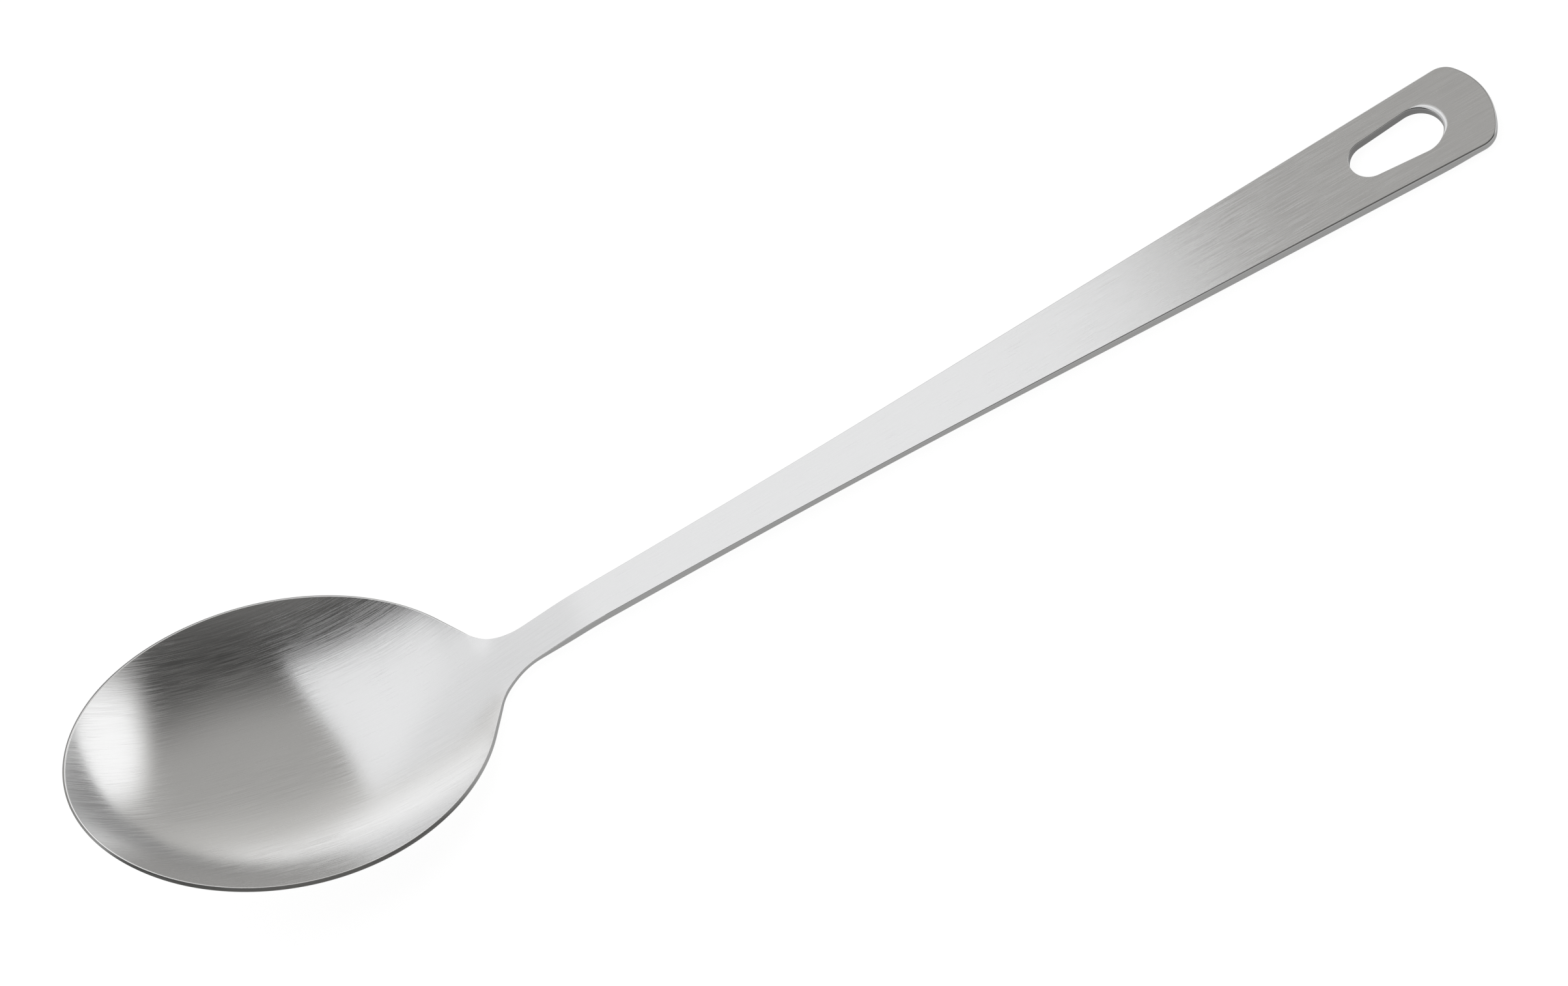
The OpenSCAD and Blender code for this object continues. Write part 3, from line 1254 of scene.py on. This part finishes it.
class Bench:
    """Short calls for laying out the nodes of a material or a world."""

    def __init__(self, tree: bpy.types.NodeTree) -> None:
        """Takes a node tree and empties it."""
        self.tree = tree
        tree.nodes.clear()

    @classmethod
    def with_material(cls, name: str) -> tuple["Bench", bpy.types.Material]:
        """Makes a material.

        Args:
            name: Its name.

        Returns:
            A bench for its nodes, and the material.
        """
        material = bpy.data.materials.new(name)
        material.use_nodes = True
        return cls(material.node_tree), material

    def add(self, kind: str, **settings: object) -> bpy.types.Node:
        """Adds a node.

        Args:
            kind: The node's Blender name.
            **settings: Its properties.

        Returns:
            The node.
        """
        node = self.tree.nodes.new(kind)
        for name, value in settings.items():
            setattr(node, name, value)
        return node

    def feed(self, node: bpy.types.Node, socket: str | int, source: object) -> None:
        """Links an output to a node's input, or writes a plain value there.

        Args:
            node: The node.
            socket: Name or number of its input.
            source: The output or the value.
        """
        target = node.inputs[socket]
        if isinstance(source, bpy.types.NodeSocket):
            self.tree.links.new(source, target)
        else:
            target.default_value = source

    def end_in(self, kind: str, surface: Socket) -> None:
        """Ends the tree in an output node of a kind."""
        self.feed(self.add(kind), "Surface", surface)

    def sum(self, kind: str, *terms: object) -> Socket:
        """Adds a Math node.

        Args:
            kind: What it works out.
            *terms: Outputs or values, in its order.

        Returns:
            The output that holds the result.
        """
        node = self.add("ShaderNodeMath", operation=kind)
        for i, term in enumerate(terms):
            self.feed(node, i, term)
        return node.outputs[0]

    def step(self, value: Socket, start: float, end: float, low: float = 0.0, high: float = 1.0) -> Socket:
        """A smooth step of a value.

        Args:
            value: What is stepped.
            start: Where the step starts.
            end: Where it ends.
            low: The result before it.
            high: The result after it.

        Returns:
            The output that holds the result.
        """
        node = self.add("ShaderNodeMapRange", interpolation_type="SMOOTHERSTEP")
        flip = start > end
        self.feed(node, "Value", value)
        self.feed(node, "From Min", end if flip else start)
        self.feed(node, "From Max", start if flip else end)
        self.feed(node, "To Min", high if flip else low)
        self.feed(node, "To Max", low if flip else high)
        return node.outputs["Result"]

    def blend(self, share: object, first: object, second: object) -> Socket:
        """Mixes two numbers.

        Args:
            share: How much of the second there is.
            first: The first number.
            second: The second number.

        Returns:
            The output that holds the result.
        """
        node = self.add("ShaderNodeMix", data_type="FLOAT")
        for i, source in ((0, share), (2, first), (3, second)):
            self.feed(node, i, source)
        return node.outputs[0]

    def blend_tints(self, share: Socket, first: Place, second: Place) -> Socket:
        """Mixes two tints.

        Args:
            share: How much of the second there is.
            first: Red, green and blue of the first.
            second: Red, green and blue of the second.

        Returns:
            The output that holds the result.
        """
        node = self.add("ShaderNodeMix", data_type="RGBA")
        for i, source in ((0, share), (6, (*first, 1.0)), (7, (*second, 1.0))):
            self.feed(node, i, source)
        return node.outputs[2]

    def split(self, vector: Socket) -> list[Socket]:
        """Splits a vector.

        Args:
            vector: The output that holds it.

        Returns:
            The outputs that hold its three parts.
        """
        node = self.add("ShaderNodeSeparateXYZ")
        self.feed(node, 0, vector)
        return list(node.outputs)

    def glow(self, tint: Place, strength: Socket) -> Socket:
        """Adds an emission.

        Args:
            tint: Its red, green and blue.
            strength: The output that holds its strength.

        Returns:
            The output that holds the emission.
        """
        node = self.add("ShaderNodeEmission")
        self.feed(node, "Color", (*tint, 1.0))
        self.feed(node, "Strength", strength)
        return node.outputs[0]

    def streaks(self, layer: Streaks) -> Socket:
        """Adds noise that is stretched along the brushing.

        Args:
            layer: The sizes of its streaks.

        Returns:
            The output that holds 0..1.
        """
        place = self.add("ShaderNodeUVMap", uv_map=BRUSH_MAP)
        mapping = self.add("ShaderNodeMapping")
        self.feed(mapping, "Vector", place.outputs[0])
        self.feed(mapping, "Location", (*layer.shift, 0.0))
        self.feed(mapping, "Scale", (1 / layer.length, 1 / layer.width, 1.0))
        noise = self.add("ShaderNodeTexNoise", noise_dimensions="2D")
        self.feed(noise, "Vector", mapping.outputs[0])
        self.feed(noise, "Scale", 1.0)
        self.feed(noise, "Detail", layer.detail)
        self.feed(noise, "Roughness", layer.roughness)
        return noise.outputs[0]


@dataclass(frozen=True)
class SteelFinish:
    """Steel that a belt or a wheel has worked along the brushing map's long direction.

    roughness_play is how far the roughness varies either way, and grey_play is the share by which
    the grey does. groove_depth is in metres. A span is the two noise values between which the shade
    or a scratch sets in.
    """

    name: str
    grey: Place
    roughness: float
    groove_depth: float
    roughness_play: float = 0.03
    grey_play: float = 0.03
    anisotropy: float = 0.0
    scratch_roughness: float = 0.0
    fine: Streaks = Streaks(width=0.0002, length=0.011, detail=3.0, roughness=0.62)
    broad: Streaks = Streaks(width=0.0008, length=0.0275, detail=2.0, roughness=0.5, shift=(31.0, 21.7))
    stray: Streaks = Streaks(width=0.00016, length=0.00825, detail=0.0, roughness=0.5, shift=(77.0, 53.9))
    fine_share: float = 0.87
    shade_span: tuple[float, float] = (0.32, 0.68)
    scratch_span: tuple[float, float] = (0.72, 0.86)

    def make(self) -> bpy.types.Material:
        """Makes the material.

        Returns:
            A metal whose streaks vary in shade, in roughness and in height.
        """
        bench, material = Bench.with_material(self.name)
        shader = bench.add("ShaderNodeBsdfPrincipled")
        bench.end_in("ShaderNodeOutputMaterial", shader.outputs[0])
        bench.feed(shader, "Metallic", 1.0)
        bench.feed(shader, "Anisotropic", self.anisotropy)
        if self.anisotropy:
            tangent = bench.add("ShaderNodeTangent", direction_type="UV_MAP", uv_map=BRUSH_MAP)
            bench.feed(shader, "Tangent", tangent.outputs[0])
            bench.feed(shader, "Anisotropic Rotation", QUARTER_TURN)
        fine = bench.sum("MULTIPLY", bench.streaks(self.fine), self.fine_share)
        broad = bench.sum("MULTIPLY", bench.streaks(self.broad), 1 - self.fine_share)
        streak = bench.sum("ADD", fine, broad)
        centred = bench.step(streak, *self.shade_span)
        low = tuple(c * (1 - self.grey_play) for c in self.grey)
        high = tuple(min(1.0, c * (1 + self.grey_play)) for c in self.grey)
        bench.feed(shader, "Base Color", bench.blend_tints(centred, low, high))
        smooth, rough = self.roughness - self.roughness_play, self.roughness + self.roughness_play
        worked = bench.blend(centred, smooth, rough)
        if self.scratch_roughness:
            stray = bench.streaks(self.stray)
            scratch = bench.step(stray, *self.scratch_span, 0.0, self.scratch_roughness)
            worked = bench.sum("ADD", worked, scratch)
        bench.feed(shader, "Roughness", worked)
        bump = bench.add("ShaderNodeBump")
        bench.feed(bump, "Strength", 1.0)
        bench.feed(bump, "Distance", self.groove_depth)
        bench.feed(bump, "Height", streak)
        bench.feed(shader, "Normal", bump.outputs[0])
        return material


@dataclass(frozen=True)
class SteelSet:
    """The finishes of the spoon, one for each Region, and the bowl's own one for its corners, lighter as a
    painted highlight.
    """

    face: SteelFinish = SteelFinish(
        "brushed_steel_face",
        (0.72, 0.72, 0.72),
        roughness=0.205,
        groove_depth=0.00001,
        roughness_play=0.055,
        grey_play=0.025,
        anisotropy=0.69,
        scratch_roughness=0.06,
    )
    # The handle's rounded corners are a darker grey than the face: painted shade for the dark line under
    # the edge.
    corner: SteelFinish = SteelFinish(
        "eased_corner_painted_shade", (0.55, 0.55, 0.55), roughness=0.12, groove_depth=0.000002
    )
    # The bowl's rim corner is a lighter grey than the face, at about the same roughness: a painted
    # highlight along the rim.
    rim_corner: SteelFinish = SteelFinish(
        "rim_corner_painted_highlight", (0.86, 0.86, 0.86), roughness=0.2, groove_depth=0.000002
    )
    # The cut edge's dark grey is partly the ground edge's own duller tone. It is partly painted shade, for
    # the shaded floor it mirrors.
    edge: SteelFinish = SteelFinish(
        "ground_edge_and_painted_shade",
        (0.46, 0.46, 0.455),
        roughness=0.32,
        groove_depth=0.000003,
        roughness_play=0.05,
        grey_play=0.05,
    )
    # The slot wall's darkest grey is partly the punched fracture's own dull tone. It is partly painted
    # shade, for the dark inside of the slot.
    wall: SteelFinish = SteelFinish(
        "punched_wall_and_painted_shade",
        (0.27, 0.268, 0.265),
        roughness=0.42,
        groove_depth=0.000005,
        roughness_play=0.05,
        grey_play=0.08,
    )

    def make(self) -> tuple[Finishes, Finishes]:
        """Makes the materials.

        Returns:
            Those of the bowl and those of the handle, each in the order of Region.
        """
        face, edge, wall = (finish.make() for finish in (self.face, self.edge, self.wall))
        return [face, self.rim_corner.make(), edge, wall], [face, self.corner.make(), edge, wall]


def flat_sheet(name: str, corners: list[Place], finish: bpy.types.Material) -> bpy.types.Object:
    """Makes a flat sheet with four corners.

    Args:
        name: Its name.
        corners: The corners, in order round it.
        finish: Its material.

    Returns:
        The sheet, linked to the scene.
    """
    mesh = bpy.data.meshes.new(name)
    mesh.from_pydata(corners, [], [(0, 1, 2, 3)])
    mesh.materials.append(finish)
    return put_in_scene(name, mesh)


@dataclass
class PaleTable:
    """The pale floor under the spoon, whose sizes are in metres.

    The camera sees it glow evenly. The steel sees a dimmer glow as painted shade, with a painted strip of
    light along the spoon.
    """

    half_size: float = 6.0
    glow: float = 0.92
    painted_shade_in_steel: float = 0.21
    painted_strip_glow: float = 0.6
    painted_strip_half_width: float = 0.05
    painted_strip_fade: float = 0.06
    grey: float = 0.22

    def build(self) -> bpy.types.Object:
        """Builds the floor.

        Returns:
            The floor.
        """
        h = self.half_size
        corners = [(-h, -h, 0.0), (h, -h, 0.0), (h, h, 0.0), (-h, h, 0.0)]
        floor = flat_sheet("pale_table", corners, self.finish())
        return floor

    def finish(self) -> bpy.types.Material:
        """Makes the floor's matte finish.

        Returns:
            A material that is white to the camera. To the steel it is a painted shade, with a painted strip
            of light under the spoon.
        """
        bench, material = Bench.with_material("pale_table_top")
        rays = bench.add("ShaderNodeLightPath").outputs
        mirrored_rays = bench.sum("MAXIMUM", rays["Is Glossy Ray"], rays["Is Transmission Ray"])
        place = bench.split(bench.add("ShaderNodeNewGeometry").outputs["Position"])
        off_middle = bench.sum("ABSOLUTE", place[1])
        # Painted light: the glow seen in the steel is dimmed as painted shade. Along the spoon it is
        # brightened in a strip, as a painted pool of light.
        strip_inner, strip_outer = self.painted_strip_half_width, self.painted_strip_half_width + self.painted_strip_fade
        painted_glow_in_steel = bench.step(off_middle, strip_inner, strip_outer, self.painted_strip_glow, self.painted_shade_in_steel)
        unseen = bench.sum("MULTIPLY", mirrored_rays, painted_glow_in_steel)
        seen = bench.blend(rays["Is Camera Ray"], unseen, self.glow)
        diffuse = bench.add("ShaderNodeBsdfDiffuse")
        bench.feed(diffuse, "Color", (self.grey, self.grey, self.grey, 1.0))
        both = bench.add("ShaderNodeAddShader")
        bench.feed(both, 0, diffuse.outputs[0])
        bench.feed(both, 1, bench.glow(WHITE, seen))
        bench.end_in("ShaderNodeOutputMaterial", both.outputs[0])
        return material


@dataclass
class OverheadSoftbox:
    """The broad softbox above the spoon: its height and its edges, in metres, and its brightness.

    It is dimmer towards its far left corner.
    """

    height: float = 0.59
    left: float = -1.1
    right: float = 0.158
    front: float = -0.129
    back: float = 0.96
    radiance: float = 1.11
    corner_radiance: float = 0.95
    dim_from: float = 0.25
    dim_to: float = 0.45
    dim_lean: float = 0.5
    tint: Place = (0.99, 0.993, 1.0)

    def build(self) -> bpy.types.Object:
        """Builds the glowing panel, which shows in the steel and not to the camera.

        Returns:
            The panel.
        """
        bench, material = Bench.with_material("softbox_cloth")
        x, y, _ = bench.split(bench.add("ShaderNodeNewGeometry").outputs["Position"])
        far_left = bench.sum("SUBTRACT", bench.sum("MULTIPLY", y, self.dim_lean), x)
        strength = bench.step(far_left, self.dim_from, self.dim_to, self.radiance, self.corner_radiance)
        bench.end_in("ShaderNodeOutputMaterial", bench.glow(self.tint, strength))
        corners = [
            (self.left, self.front, self.height),
            (self.left, self.back, self.height),
            (self.right, self.back, self.height),
            (self.right, self.front, self.height),
        ]
        panel = flat_sheet("overhead_softbox", corners, material)
        panel.visible_camera = False
        return panel


@dataclass
class Studio:
    """The room round the softbox: a grey ceiling, a dark front and pale walls low down on two sides.

    A turn is where one shade gives way to the next. It is written as the two values, of the x or y
    part of a unit direction, between which the change takes place.
    """

    ceiling: float = 0.47
    ceiling_back: float = 0.66
    ceiling_turn: tuple[float, float] = (0.6, 0.8)
    front: float = 0.25
    front_turn: tuple[float, float] = (-0.21, -0.24)
    front_shade: float = 0.745
    shade_near_turn: tuple[float, float] = (-0.93, -0.3)
    shade_far_turn: tuple[float, float] = (0.33, -0.3)
    shade_right_turn: tuple[float, float] = (1.2, 0.9)
    right_wall: float = 1.34
    right_turn: tuple[float, float] = (0.795, 0.945)
    right_near_turn: tuple[float, float] = (-0.6, -0.2)
    back_wall: float = 1.3
    back_turn: tuple[float, float] = (0.8, 1.0)
    warm: Place = (1.0, 0.985, 0.955)

    def build(self) -> bpy.types.World:
        """Builds the world.

        Returns:
            The world, which is plain white where the camera sees it.
        """
        world = bpy.data.worlds.new("soft_studio")
        world.use_nodes = True
        bench = Bench(world.node_tree)
        x, y, _ = bench.split(bench.add("ShaderNodeTexCoord").outputs["Generated"])
        level = bench.step(y, *self.ceiling_turn, self.ceiling, self.ceiling_back)
        level = bench.blend(bench.step(y, *self.front_turn), level, self.front)
        near, far = bench.step(y, *self.shade_near_turn), bench.step(y, *self.shade_far_turn)
        band = bench.sum("MINIMUM", near, far)
        strength = bench.step(x, *self.shade_right_turn, 0.0, self.front_shade)
        shade = bench.sum("MULTIPLY", band, strength)
        level = bench.sum("MULTIPLY", level, bench.sum("SUBTRACT", 1.0, shade))
        right = bench.sum("MULTIPLY", bench.step(x, *self.right_turn), bench.step(y, *self.right_near_turn))
        level = bench.blend(right, level, self.right_wall)
        back = bench.step(y, *self.back_turn)
        level = bench.blend(back, level, self.back_wall)
        from_camera = bench.add("ShaderNodeLightPath").outputs["Is Camera Ray"]
        pale = bench.sum("MAXIMUM", from_camera, bench.sum("MAXIMUM", right, back))
        background = bench.add("ShaderNodeBackground")
        bench.feed(background, "Color", bench.blend_tints(pale, self.warm, WHITE))
        bench.feed(background, "Strength", bench.blend(from_camera, level, 1.0))
        bench.end_in("ShaderNodeOutputWorld", background.outputs[0])
        bpy.context.scene.world = world
        return world


@dataclass
class StudioCamera:
    """The camera at the photograph's viewing angle.

    Its places and its nearest and farthest distances are in metres, its roll is in degrees, and its
    lens and sensor are in millimetres.
    """

    stands_at: Place = (0.009520, -0.549012, 0.911382)
    looks_at: Place = (-0.005980, 0.002540, 0.0)
    roll: float = -31.44264
    lens: float = 112.2521
    sensor_width: float = 36.0
    nearest: float = 0.05
    farthest: float = 30.0

    def build(self) -> bpy.types.Object:
        """Builds the camera and makes it the scene's.

        Returns:
            The camera.
        """
        data = bpy.data.cameras.new("studio_camera")
        data.sensor_fit = "HORIZONTAL"
        data.sensor_width = self.sensor_width
        data.lens = self.lens
        data.clip_start, data.clip_end = self.nearest, self.farthest
        back = (Vector(self.stands_at) - Vector(self.looks_at)).normalized()
        level = Vector((0.0, 0.0, 1.0)).cross(back).normalized()
        rise = back.cross(level)
        c, s = math.cos(math.radians(self.roll)), math.sin(math.radians(self.roll))
        right, up = level * c + rise * s, rise * c - level * s
        camera = put_in_scene("studio_camera", data)
        turn = Matrix((right, up, back)).transposed().to_4x4()
        camera.matrix_world = Matrix.Translation(self.stands_at) @ turn
        bpy.context.scene.camera = camera
        return camera


def main() -> None:
    """Builds the camera, the studio and the spoon, and reports each piece."""
    logging.basicConfig(level=logging.INFO, format="%(name)s: %(message)s")
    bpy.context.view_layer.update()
    bpy.context.scene.view_settings.view_transform = "Standard"
    StudioCamera().build()
    Studio().build()
    OverheadSoftbox().build()
    PaleTable().build()
    blank, rest = Blank(), RestPose()
    builders = (BowlAndNeck(blank, rest), FlatHandle(blank, rest))
    for builder, finishes in zip(builders, SteelSet().make()):
        piece = builder.build(finishes)
        log.info("%s: %d faces", piece.name, len(piece.data.polygons))


if __name__ == "__main__":
    main()
